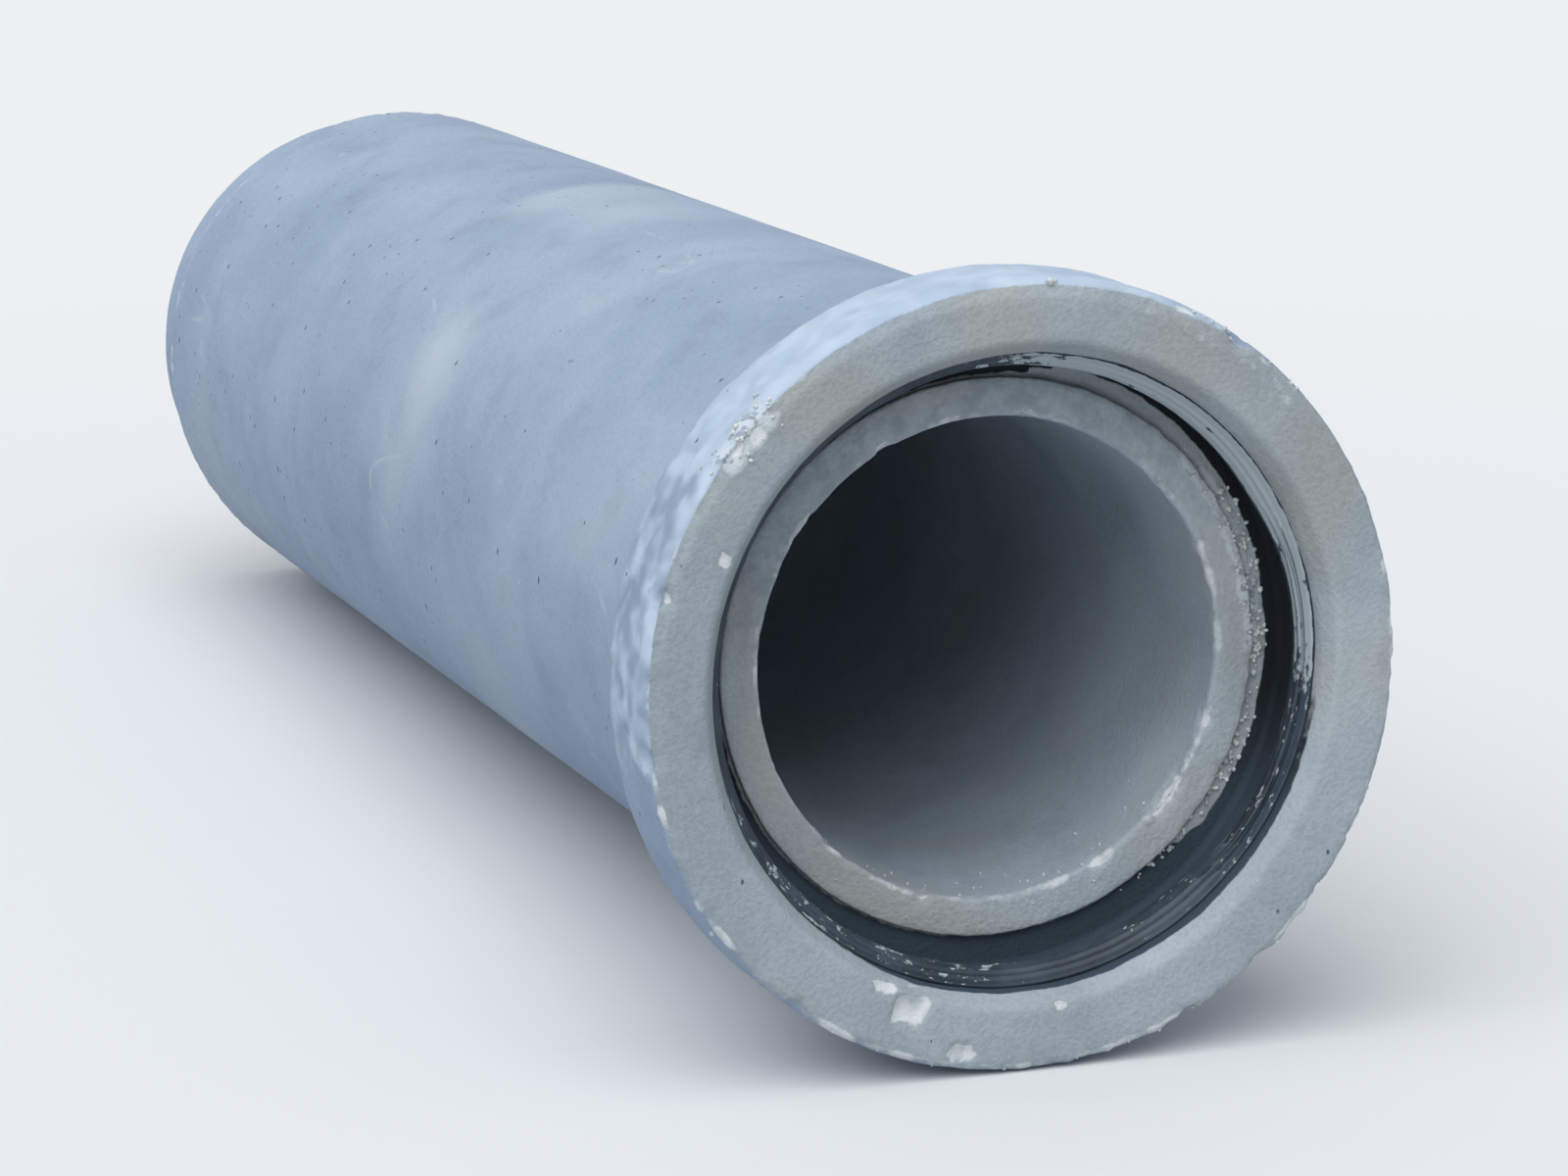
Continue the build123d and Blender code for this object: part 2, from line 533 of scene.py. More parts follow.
@dataclass(frozen=True)
class ConcreteFinish:
    """Dry-cast concrete: a smooth blue-grey skin off the mould, rough pale edges, air pits, dark patches,
    painted edge highlights and painted shade in the socket.

    The material reads nine painted layers: the skin, the pale band, its mottling, broken grit, fresh chips
    with painted edge highlights, painted shade with dark patches, painted shade in the socket and its deeper
    part, and the air pits.
    """

    name: str = "cast_concrete"
    skin: Colour = tone(158, 177, 202)
    trowelled: Colour = tone(168, 181, 189)
    light: Colour = tone(205, 216, 225)
    dark: Colour = tone(96, 108, 122)
    pit: Colour = tone(62, 74, 90)
    buff: Colour = tone(176, 172, 163)
    rubbed_low: Colour = tone(186, 205, 228)
    rubbed_high: Colour = tone(204, 220, 239)
    bruised: Colour = tone(130, 148, 170)
    grit: Colour = tone(218, 228, 234)
    white: Colour = tone(226, 232, 236)
    # slate and black are painted shade in the socket, black where it is deepest; slate also colours the dark
    # band in front of the seal
    slate: Colour = tone(62, 77, 90)
    black: Colour = tone(26, 33, 40)
    grit_height: float = 0.0036
    pit_depth: float = 0.0025
    sand_height: Range = (0.0012, 0.0003)  # on trowelled faces and on the skin

    def make(self) -> bpy.types.Material:
        """Builds the material."""
        bench = ConcreteBench(self.name)
        pits = self.pits(bench)
        colour = self.shaded_and_darkened(bench, self.worn(bench, self.scuffed(bench, self.body_colour(bench))))
        colour = bench.blend(bench.times(pits, 0.8), colour, self.pit)
        rise = bench.spread(bench.skin, 0.0, 1.0, *self.sand_height)
        sand = bench.times(bench.maths("SUBTRACT", bench.sandy, 0.5), rise)
        grit = bench.times(bench.stones, bench.painted("broken"), self.grit_height)
        height = bench.maths("SUBTRACT", bench.maths("ADD", sand, grit), bench.times(pits, self.pit_depth))
        bench.surface(colour, bench.spread(bench.blotchy, 0.3, 0.7, 0.76, 0.90), height, 0.85, 0.3)
        return bench.owner

    def body_colour(self, bench: ConcreteBench) -> Socket:
        """The sound concrete's colour, with its clouds, blotches, warm patches and sand.

        Args:
            bench: The material's nodes.

        Returns:
            The colour.
        """
        cloudy = bench.grain(3.4, 3.0, 0.55)
        warm = bench.grain(6.0, 1.0, 0.5, bench.turned(shift=(9.0, 3.0, 7.0)))
        colour = bench.blend(bench.skin, self.trowelled, self.skin)
        for level, start, full, share, stain in (
            (cloudy, 0.40, 0.72, 0.26, self.light),
            (cloudy, 0.52, 0.30, 0.10, self.dark),
            (bench.blotchy, 0.50, 0.30, 0.15, self.dark),
            (bench.blotchy, 0.54, 0.72, 0.15, self.light),
        ):
            colour = bench.blend(bench.spread(level, start, full, 0.0, share), colour, stain)
        bare = bench.maths("SUBTRACT", 1.0, bench.skin)
        colour = bench.blend(bench.times(bench.spread(warm, 0.48, 0.72), bare, 0.50), colour, self.buff)
        return bench.blend(bench.spread(bench.sandy, 0.60, 0.34, 0.0, 0.13), colour, self.dark)

    def scuffed(self, bench: ConcreteBench, colour: Socket) -> Socket:
        """Adds pale smears and thin scratches to a colour.

        Args:
            bench: The material's nodes.
            colour: The colour below.

        Returns:
            The scuffed colour.
        """
        area = bench.grain(4.2, 1.0, 0.5, bench.turned(shift=(2.0, 6.0, 1.0)))
        smears = bench.grain(1.0, 2.0, 0.6, bench.turned(turn=(0.5, 0.3, 0.7), shift=(14.0, 6.5, 14.0)))
        smeared = bench.times(bench.spread(smears, 0.54, 0.70), bench.spread(area, 0.46, 0.62), 0.48)
        colour = bench.blend(smeared, colour, self.light)
        strength = bench.spread(bench.skin, 0.0, 1.0, 0.12, 0.34)
        for turn, shift, reach in (((0.4, 0.2, 0.6), 3.0, 0.56), ((0.1, 0.5, -0.5), 8.0, 0.60)):
            lines = bench.grain(1.0, 0.0, 0.4, bench.turned((7.0, 0.9, 7.0), turn, (shift, shift, 1.0)))
            off_line = bench.maths("ABSOLUTE", bench.maths("SUBTRACT", lines, 0.5))
            patch = bench.grain(9.0, 3.0, 0.6, bench.turned(shift=(shift, 2.0, 5.0)))
            thin = bench.spread(off_line, 0.0048, 0.0012)
            scratch = bench.times(thin, bench.spread(patch, reach, reach + 0.10), strength)
            colour = bench.blend(scratch, colour, self.light)
        return colour

    def worn(self, bench: ConcreteBench, colour: Socket) -> Socket:
        """Adds the rubbed bell, the broken edges, the fresh chips and the painted highlights along the edges
        to a colour.

        Args:
            bench: The material's nodes.
            colour: The colour below.

        Returns:
            The worn colour.
        """
        clouds = bench.grain(19.0, 2.0, 0.5)
        blobs = bench.grain(40.0, 1.0, 0.4, bench.turned(shift=(3.0, 8.0, 5.0)))
        bruises = bench.times(bench.painted("mottled"), bench.spread(blobs, 0.30, 0.70), 0.85)
        rubbed = bench.blend(bench.spread(clouds, 0.36, 0.62), self.rubbed_low, self.rubbed_high)
        rubbed = bench.blend(bruises, rubbed, self.bruised)
        colour = bench.blend(bench.times(bench.ragged("pale", bench.coarse, 1.3, 0.14), 0.92), colour, rubbed)

        holes = bench.grain(120.0, 1.0, 0.6, bench.turned(shift=(6.0, 1.0, 9.0)))
        crushed = bench.blend(bench.spread(holes, 0.45, 0.36, 0.0, 0.7), self.grit, self.dark)
        broken = bench.times(bench.ragged("broken", bench.stones, 1.6, 0.24), 0.65)
        colour = bench.blend(broken, colour, crushed)
        gritty = bench.spread(bench.stones, 0.34, 0.56, 0.55)
        # pale: the fresh chips, and the painted highlights along the rim's edge and the bore's edge
        fresh = bench.times(bench.ragged("fresh", bench.coarse, 1.6, 0.16), gritty)
        return bench.blend(fresh, colour, self.white)

    def shaded_and_darkened(self, bench: ConcreteBench, colour: Socket) -> Socket:
        """Adds the painted shade at the ledge's top, the darker patches behind the bell and on the shoulder,
        and the painted shade in the socket to a colour.

        Args:
            bench: The material's nodes.
            colour: The colour below.

        Returns:
            The soiled colour.
        """
        patchiness = bench.spread(bench.grain(42.0, 2.0, 0.7), 0.36, 0.62, 0.25)
        # painted shade at the ledge's top, and darker patches behind the bell and on the shoulder
        colour = bench.blend(bench.times(bench.painted("shade_and_dark_patches"), patchiness), colour, self.dark)
        # painted shade in the socket: slate low down, black elsewhere; the band in front of the seal takes
        # the slate
        socket_shade_tone = bench.blend(bench.painted("deep"), self.slate, self.black)
        return bench.blend(bench.ragged("socket_shade_and_flash", bench.coarse, 1.0, 0.14), colour, socket_shade_tone)

    def pits(self, bench: NodeBench) -> Socket:
        """The share of pit at each place: small oblong air pits in two sizes."""
        holes: list[Socket] = []
        thick = bench.painted("pitted")
        for scale, width, share, turn in ((60.0, 0.150, 1.15, 0.5), (105.0, 0.16, 0.5, 0.9)):
            stretched = bench.turned((1.0, 1.0, 0.60), (turn, 0.25, 0.4), (scale, 0.3, 0.7))
            cells = bench.add("ShaderNodeTexVoronoi", {"Vector": stretched, "Scale": scale}, feature="F1")
            lot = bench.add("ShaderNodeSeparateColor", {0: cells.outputs["Color"]})
            picked = bench.maths("LESS_THAN", lot.outputs[0], bench.times(thick, share))
            reach = bench.spread(lot.outputs[1], 0.0, 1.0, width / 2, width)
            hole = bench.spread(bench.maths("DIVIDE", cells.outputs["Distance"], reach), 1.0, 0.55)
            holes.append(bench.times(hole, picked))
        return bench.maths("MAXIMUM", *holes)


@dataclass(frozen=True)
class RubberFinish:
    """Slate-coloured rubber with cement smears. The material reads the painted layer smear."""

    name: str = "seal_rubber"
    rubber: Colour = tone(43, 54, 65)
    dusty: Colour = tone(78, 93, 108)
    cement: Colour = tone(182, 194, 201)
    grain_height: float = 0.0003
    smear_height: float = 0.0008

    def make(self) -> bpy.types.Material:
        """Builds the material."""
        bench = NodeBench(bpy.data.materials.new(self.name))
        film = bench.grain(22.0, 4.0, 0.6)
        specks = bench.grain(62.0, 4.0, 0.7, bench.turned((1.0, 2.2, 1.0)))
        colour = bench.blend(bench.spread(film, 0.30, 0.78, 0.10, 0.75), self.rubber, self.dusty)
        reach = bench.maths("SUBTRACT", 0.84, bench.times(bench.painted("smear"), 0.56))
        smears = bench.spread(bench.maths("SUBTRACT", specks, reach), 0.0, 0.05)
        colour = bench.blend(smears, colour, self.cement)
        caked = bench.times(smears, self.smear_height)
        height = bench.maths("ADD", bench.times(specks, self.grain_height), caked)
        bench.surface(colour, bench.spread(smears, 0.0, 1.0, 0.46, 0.85), height, 0.8, 0.4)
        return bench.owner


@dataclass(frozen=True)
class MortarFinish:
    """Pale mortar with sandy grain."""

    name: str = "mortar"
    pale: Colour = tone(236, 240, 240)
    sandy: Colour = tone(194, 202, 206)
    sand_height: float = 0.0008

    def make(self) -> bpy.types.Material:
        """Builds the material."""
        bench = NodeBench(bpy.data.materials.new(self.name))
        patch = bench.grain(90.0, 3.0, 0.6)
        sand = bench.grain(420.0, 3.0, 0.7)
        colour = bench.blend(bench.spread(patch, 0.36, 0.62), self.sandy, self.pale)
        colour = bench.blend(bench.spread(sand, 0.50, 0.30, 0.0, 0.35), colour, self.sandy)
        height = bench.times(sand, self.sand_height)
        bench.surface(colour, bench.spread(patch, 0.3, 0.7, 0.80, 0.92), height, 1.0, 0.3)
        return bench.owner


# ---------------------------------------------------------------- sub-assemblies


@dataclass(frozen=True)
class Chip:
    """A spot where a piece has broken off; stretch is its length round the pipe over its width."""

    along: float
    radius: float
    clock: float
    width: float
    depth: float
    fresh: float = 1.0
    stretch: float = 1.0
    widest_angle: float = 15.0  # degrees, beyond which no chip reaches

    def weight(self, spot: Spot, axes: PipeAxes) -> float:
        """How much of the chip is at a spot, from 0 to 1."""
        if abs(spot.along - self.along) > self.width or apart(spot.clock, self.clock) > self.widest_angle:
            return 0.0
        centre = axes.point(self.along, self.radius, self.clock)
        round_way = axes.along.cross(centre - axes.point(self.along, 0.0)).normalized()
        arm = spot.place - centre
        arm -= round_way * arm.dot(round_way) * (1 - 1 / self.stretch)
        ragged = 1 + 0.5 * noise.noise(spot.place / (0.35 * self.width))
        return ramp(arm.length * ragged, 0.6 * self.width, 0.2 * self.width)


# along, radius, clock, width, depth, how fresh, stretch
BELL_CHIPS = (
    Chip(0.001, 0.282, 201, 0.032, 0.006),
    Chip(0.001, 0.273, 207, 0.012, 0.003, 1.0, 2.2),
    Chip(0.000, 0.311, 191, 0.014, 0.004, 1.0, 1.8),
    Chip(0.000, 0.275, 174, 0.011, 0.002),
    Chip(0.000, 0.279, 294, 0.011, 0.002),
    Chip(0.000, 0.319, 286, 0.016, 0.005, 0.9),
    Chip(0.001, 0.310, 313, 0.013, 0.004, 1.0, 2.0),
    Chip(0.001, 0.318, 309, 0.014, 0.004, 1.0, 1.6),
    Chip(0.004, 0.325, 35, 0.024, 0.007, 0.5),
    Chip(0.003, 0.324, 25, 0.012, 0.004, 0.9, 1.8),
    Chip(0.003, 0.323, 218, 0.018, 0.005, 0.3),
    Chip(0.004, 0.325, 262, 0.024, 0.006, 0.2),
    Chip(0.003, 0.325, 118, 0.012, 0.004, 0.45),
    Chip(0.003, 0.325, 127, 0.014, 0.005, 0.45),
    Chip(0.003, 0.325, 141, 0.012, 0.004, 0.45, 1.6),
    Chip(0.003, 0.325, 154, 0.014, 0.005, 0.4),
)
LEDGE_CHIPS = (
    Chip(0.086, 0.201, 129, 0.018, 0.005, 1.0, 2.6),
    Chip(0.086, 0.201, 109, 0.014, 0.004, 0.9, 1.6),
    Chip(0.086, 0.202, 152, 0.012, 0.003, 0.9, 1.8),
    Chip(0.086, 0.201, 197, 0.016, 0.003, 0.7),
    Chip(0.086, 0.201, 10, 0.012, 0.003, 0.9, 1.6),
    Chip(0.086, 0.201, 333, 0.012, 0.003, 0.9, 1.5),
    Chip(0.086, 0.202, 66, 0.012, 0.003, 0.6),
)
SPIGOT_CHIPS = (
    Chip(2.083, 0.202, 95, 0.026, 0.006),
    Chip(2.083, 0.202, 215, 0.026, 0.007, 0.8, 1.8),
    Chip(2.083, 0.203, 318, 0.022, 0.005),
    Chip(2.081, 0.255, 20, 0.024, 0.005, 0.8),
    Chip(2.081, 0.255, 142, 0.018, 0.004, 0.8, 1.6),
)


@dataclass
class ConcretePipe:
    """The concrete casting, in metres. Along is the distance down the axis from the bell's face."""

    axes: PipeAxes
    bore_radius: float = mount_size("bore", "r_mm")
    barrel_radius: float = 0.275
    overall_length: float = 2.085
    bore_edge: float = 0.004
    bell_radius: float = 0.325
    bell_band: float = 0.090
    taper_end: float = 0.200
    face_edge: float = 0.008
    socket_radius: float = mount_size("socket", "r_mm")
    socket_depth: float = mount_size("socket", "length_mm")
    socket_floor: float = 0.092
    mouth_radius: float = 0.272
    mouth_depth: float = 0.016
    mouth_edge: float = 0.008
    ledge_radius: float = 0.233
    spigot_radius: float = mount_size("spigot", "r_mm")
    spigot_start: float = 2.000
    barrel_end: float = 1.960
    nose: float = 0.009
    steps: int = 480
    chips: tuple[Chip, ...] = BELL_CHIPS + LEDGE_CHIPS + SPIGOT_CHIPS
    chip_depth: float = 0.008  # the relief's depth, of which each chip takes a share

    def section(self) -> TurnedSection:
        """The casting's half section, from the middle of the bore round by the bell."""
        end = self.overall_length
        # along, radius, rounding, spacing of the rings, steps of the curve
        corners = [
            Corner(end / 2, self.bore_radius, 0, 0.14),
            Corner(0.240, self.bore_radius, 0, 0.022),
            Corner(0.125, self.bore_radius, 0, 0.006),
            Corner(self.socket_depth, self.bore_radius, self.bore_edge, 0.0045, 3),
            Corner(self.socket_depth, self.ledge_radius, 0.002, 0.0035, 2),
            Corner(self.socket_floor, self.ledge_radius, 0, 0.006),
            Corner(self.socket_floor, self.socket_radius, 0, 0.008),
            Corner(self.mouth_depth, self.socket_radius, 0, 0.0045),
            Corner(0, self.mouth_radius, self.mouth_edge, 0.0048, 4),
            Corner(0, self.bell_radius, self.face_edge, 0.0050, 5),
            Corner(self.bell_band, self.bell_radius, 0.010, 0.0075, 3),
            Corner(self.taper_end, self.barrel_radius, 0.160, 0.035, 5),
            Corner(0.320, self.barrel_radius, 0, 0.085),
            Corner(1.850, self.barrel_radius, 0, 0.018),
            Corner(1.925, self.barrel_radius, 0, 0.007),
            Corner(self.barrel_end, self.barrel_radius, 0.004, 0.0065, 2),
            Corner(self.spigot_start, self.spigot_radius, 0.003, 0.0085, 2),
            Corner(end, self.spigot_radius, self.nose, 0.0055, 5),
            Corner(end, self.bore_radius, self.bore_edge, 0.006, 3),
            Corner(end - 0.05, self.bore_radius, 0, 0.025),
            Corner(end - 0.20, self.bore_radius, 0, 0.14),
        ]
        return TurnedSection("concrete_pipe_dressed", corners, self.steps, self.axes)

    def rim_wear(self, spot: Spot) -> float:
        """How rough the bell's rim and band are, most of all at the upper left."""
        outside = ramp(spot.radius, 0.306, 0.318) * ramp(spot.along, 0.112, 0.078)
        return outside and outside * max(
            spot.patchy(spot.arc(310, 7, 9), 0.6, 0.035, 4.4, 0.3, 0.6),
            0.55 * spot.arc(284, 18, 14),
            0.30 * spot.arc(345, 28, 20),
            spot.patchy(0.45 * spot.arc(35, 50, 30), 0.0, 0.05, 9.1),
            spot.patchy(0.35 * spot.arc(245, 20, 20), 0.0, 0.04, 3.1),
        )

    def rim_crumbled(self, spot: Spot) -> float:
        """Where the rim and the ledge have crumbled to bare grit."""
        edge = band(spot.radius, 0.308, 0.335, 0.010) * ramp(spot.along, 0.030, 0.006)
        ledge = band(spot.radius, 0.2255, 0.240, 0.006) * band(spot.along, 0.080, 0.096, 0.004)
        low = band(spot.radius, 0.3225, 0.33, 0.004) * ramp(spot.along, 0.008, 0.002)
        return max(
            0.80 * edge * spot.arc(311.5, 3, 5),
            0.28 * edge * spot.arc(34, 12, 8),
            0.62 * ledge * spot.arc(70, 20, 8),
            0.55 * low * spot.arc(158, 42, 14),
        )

    def rubbed(self, spot: Spot) -> float:
        """The pale band outside the rim, from the left round to just past the top."""
        outside = ramp(spot.radius, 0.3135, 0.3245) * ramp(spot.along, 0.125, 0.075)
        return outside * max(spot.arc(340, 44, 14), 0.72 * spot.arc(286, 20, 14))

    def rim_rounding(self, spot: Spot) -> float:
        """Where the rim's edge is worn round."""
        edge = band(spot.radius, 0.3165, 0.33, 0.006) * ramp(spot.along, 0.016, 0.004)
        return edge * (spot.arc(315, 42, 25) + 0.3 * spot.arc(40, 40, 30))

    def rim_burr(self, spot: Spot) -> float:
        """The ragged lower rim, where the face meets the band."""
        edge = band(spot.radius, 0.3175, 0.33, 0.004) * band(spot.along, -0.01, 0.004, 0.006)
        low = spot.patchy(edge * spot.arc(165, 62, 30), 0.25, 0.045, 6.6, 0.42, 0.6)
        return max(low, spot.patchy(0.35 * edge, 0.0, 0.06, 1.9))

    def ledge_wear(self, spot: Spot) -> float:
        """The bitten edge of the bore at the ledge and at the spigot's face."""
        ledge = band(spot.radius, 0.19, 0.2040, 0.004) * band(spot.along, 0.081, 0.090, 0.005)
        spigot = band(spot.radius, 0.19, 0.2060, 0.005) * ramp(spot.along, 2.072, 2.080)
        return max(
            spot.patchy(ledge, 0.15, 0.055, 8.4, 0.46, 0.62),
            spigot and spigot * (0.2 + 0.5 * spot.patches(0.05, 2.4, 0.4, 0.6)),
        )

    def ledge_rim(self, spot: Spot) -> float:
        """The ledge's outer edge, which is cast unevenly."""
        edge = band(spot.radius, 0.2295, 0.240, 0.003) * band(spot.along, 0.080, 0.094, 0.004)
        return edge * (0.35 + 0.65 * spot.arc(75, 45, 30))

    def shoulder_crust(self, spot: Spot) -> float:
        """The rough cone between the barrel and the spigot."""
        cone = band(spot.along, self.barrel_end - 0.004, self.spigot_start - 0.012, 0.010)
        return spot.patchy(cone * ramp(spot.radius, 0.245, 0.25), 0.55, 0.05, 7.7)

    def trowelled(self, spot: Spot) -> float:
        """The bell's face and socket, and the spigot's face, which have no skin."""
        bell = ramp(spot.along, 0.020, 0.006) * ramp(spot.radius, 0.3245, 0.3215)
        socket = ramp(spot.along, 0.100, 0.096) * ramp(spot.radius, 0.300, 0.290)
        socket *= ramp(spot.radius, 0.2015, 0.2045)
        return max(bell, socket, 0.4 * ramp(spot.along, 2.078, 2.083))

    def lumpy(self, spot: Spot) -> float:
        """The bell's outside, the trowelled faces and the spigot, which are less even than the barrel."""
        bell = ramp(spot.along, 0.200, 0.110) * ramp(spot.radius, 0.205, 0.2075)
        return max(bell, self.trowelled(spot), 0.8 * ramp(spot.along, 2.0, 2.04))

    def chipped(self, spot: Spot) -> float:
        """How deep the chips are at a spot, as a share of the deepest that they may be."""
        return max(chip.weight(spot, self.axes) * chip.depth / self.chip_depth for chip in self.chips)

    def freshly_chipped(self, spot: Spot) -> float:
        """How pale the chips are at a spot."""
        return max(chip.weight(spot, self.axes) * chip.fresh for chip in self.chips)

    def edge_highlight_and_wear(self, spot: Spot) -> float:
        """The rim's edge, painted pale as a highlight where its rounding catches the light, and the bore's
        edge, partly worn pale and partly a painted highlight.
        """
        rim = band(spot.radius, 0.3190, 0.326, 0.003) * ramp(spot.along, 0.009, 0.003)
        rim *= max(spot.arc(250, 45, 15), 0.95 * spot.arc(150, 65, 20), 0.45)
        ledge = band(spot.radius, 0.2, 0.205, 0.003) * band(spot.along, 0.083, 0.090, 0.003)
        return spot.patchy(max(rim, 0.72 * ledge), 0.4, 0.04, 3.9)

    def skin(self, spot: Spot) -> float:
        """The smooth skin off the mould, which the trowelled faces lack and the bore has in part."""
        return 1.0 - max(self.trowelled(spot), 0.75 * ramp(spot.radius, 0.2045, 0.2025))

    def shade_and_dark_patches(self, spot: Spot) -> float:
        """Painted shade at the top of the ledge, where the bell shades it, and darker patches behind the bell
        and on the spigot's shoulder.
        """
        ledge = 0.34 * band(spot.radius, 0.203, 0.234, 0.004) * band(spot.along, 0.080, 0.090, 0.004)
        behind_bell = 0.36 * band(spot.along, 0.110, 0.165, 0.05) * ramp(spot.radius, 0.27, 0.28)
        shoulder = 0.9 * band(spot.along, 1.972, 1.990, 0.012) * ramp(spot.radius, 0.25, 0.255)
        return max(
            # painted shade at the top of the ledge
            ledge * spot.arc(345, 50, 45),
            spot.patchy(behind_bell, 0.0, 0.16, 5.0, 0.2, 0.8),
            spot.patchy(shoulder, 0.0, 0.03, 1.7, 0.3, 0.5),
        )

    def socket_shade_and_flash(self, spot: Spot) -> float:
        """Painted shade in the socket all round behind the seal, and low down in front of it a dark band that
        stands for a thin rubber flash.
        """
        stained = band(spot.radius, 0.2350 + 0.012 * spot.arc(72, 56, 14), 0.266, 0.003)
        front = 0.95 * band(spot.along, 0.015, 0.026, 0.004) * spot.arc(160, 36, 45)
        return stained * max(band(spot.along, 0.057, 0.096, 0.003), front)

    def pitted(self, spot: Spot) -> float:
        """How thick the air pits lie: most towards the spigot, fewer on the bell's face, none inside."""
        if spot.along >= 0.004 and spot.radius <= 0.27:
            return 0.0
        thick = (0.16 + 0.66 * ramp(spot.along, 0.9, 1.8)) * (0.80 + 0.20 * ramp(spot.along, 0.02, 0.06))
        thick *= ramp(spot.radius, 0.21, 0.25) * ramp(spot.along, 2.005, 1.98)
        return spot.patchy(thick, 0.35, 0.3, 6.0)

    def reliefs(self) -> list[Relief]:
        """The casting's relief, from broad to fine: grain, its size, depth, level and place."""
        return [
            Relief("swell", Grain.LUMPS, 0.22, 0.0022, 0.5, lambda s: 1.0),
            Relief("trowel_marks", Grain.LUMPS, 0.035, 0.0014, 0.5, self.lumpy),
            Relief("rim_rounding", Grain.EVEN, 0.0, 0.0045, 2.0, self.rim_rounding),
            Relief("rim_loss", Grain.LUMPS, 0.034, 0.0085, 0.62, self.rim_wear),
            Relief("rim_grit", Grain.LUMPS, 0.013, 0.0030, 0.55, self.rim_wear),
            Relief("rim_burr", Grain.LUMPS, 0.013, 0.0075, 0.50, self.rim_burr),
            Relief("bore_bite", Grain.LUMPS, 0.015, 0.0070, 0.66, self.ledge_wear),
            Relief("ledge_rim", Grain.LUMPS, 0.016, 0.0055, 0.5, self.ledge_rim),
            Relief("shoulder_crust", Grain.LUMPS, 0.013, 0.0040, 0.55, self.shoulder_crust),
            Relief("chips", Grain.EVEN, 0.0, self.chip_depth, 2.0, self.chipped),
        ]

    def layers(self) -> dict[str, Callable[[Spot], float]]:
        """What is painted on the casting for its material."""
        return {
            "skin": self.skin,
            "pale": self.rubbed,
            "mottled": lambda s: max(0.9 * s.arc(284, 18, 12), 0.22),
            "broken": lambda s: max(
                self.rim_crumbled(s), 0.42 * self.ledge_wear(s), 0.55 * self.shoulder_crust(s)
            ),
            # fresh chips, and the painted highlights along the rim's edge and the bore's edge
            "fresh": lambda s: max(self.freshly_chipped(s), 0.62 * self.edge_highlight_and_wear(s)),
            "shade_and_dark_patches": self.shade_and_dark_patches,
            # painted shade behind the seal, and a dark band in front of it that stands for a rubber flash
            "socket_shade_and_flash": self.socket_shade_and_flash,
            # painted deeper shade in the socket, everywhere but low down
            "deep": lambda s: 1.0 - s.arc(175, 48, 30),
            "pitted": self.pitted,
        }

    def build(self) -> Piece:
        """Turns the casting, presses its relief, paints it and gives it its material.

        Returns:
            The dressed casting.
        """
        piece = self.section().turn()
        spots = self.axes.spots(piece)
        for relief in self.reliefs():
            relief.press(piece, spots)
        for name, amount in self.layers().items():
            paint(piece, name, spots, amount)
        piece.data.materials.append(ConcreteFinish().make())
        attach(piece, "root")
        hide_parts("concrete_pipe")
        return piece


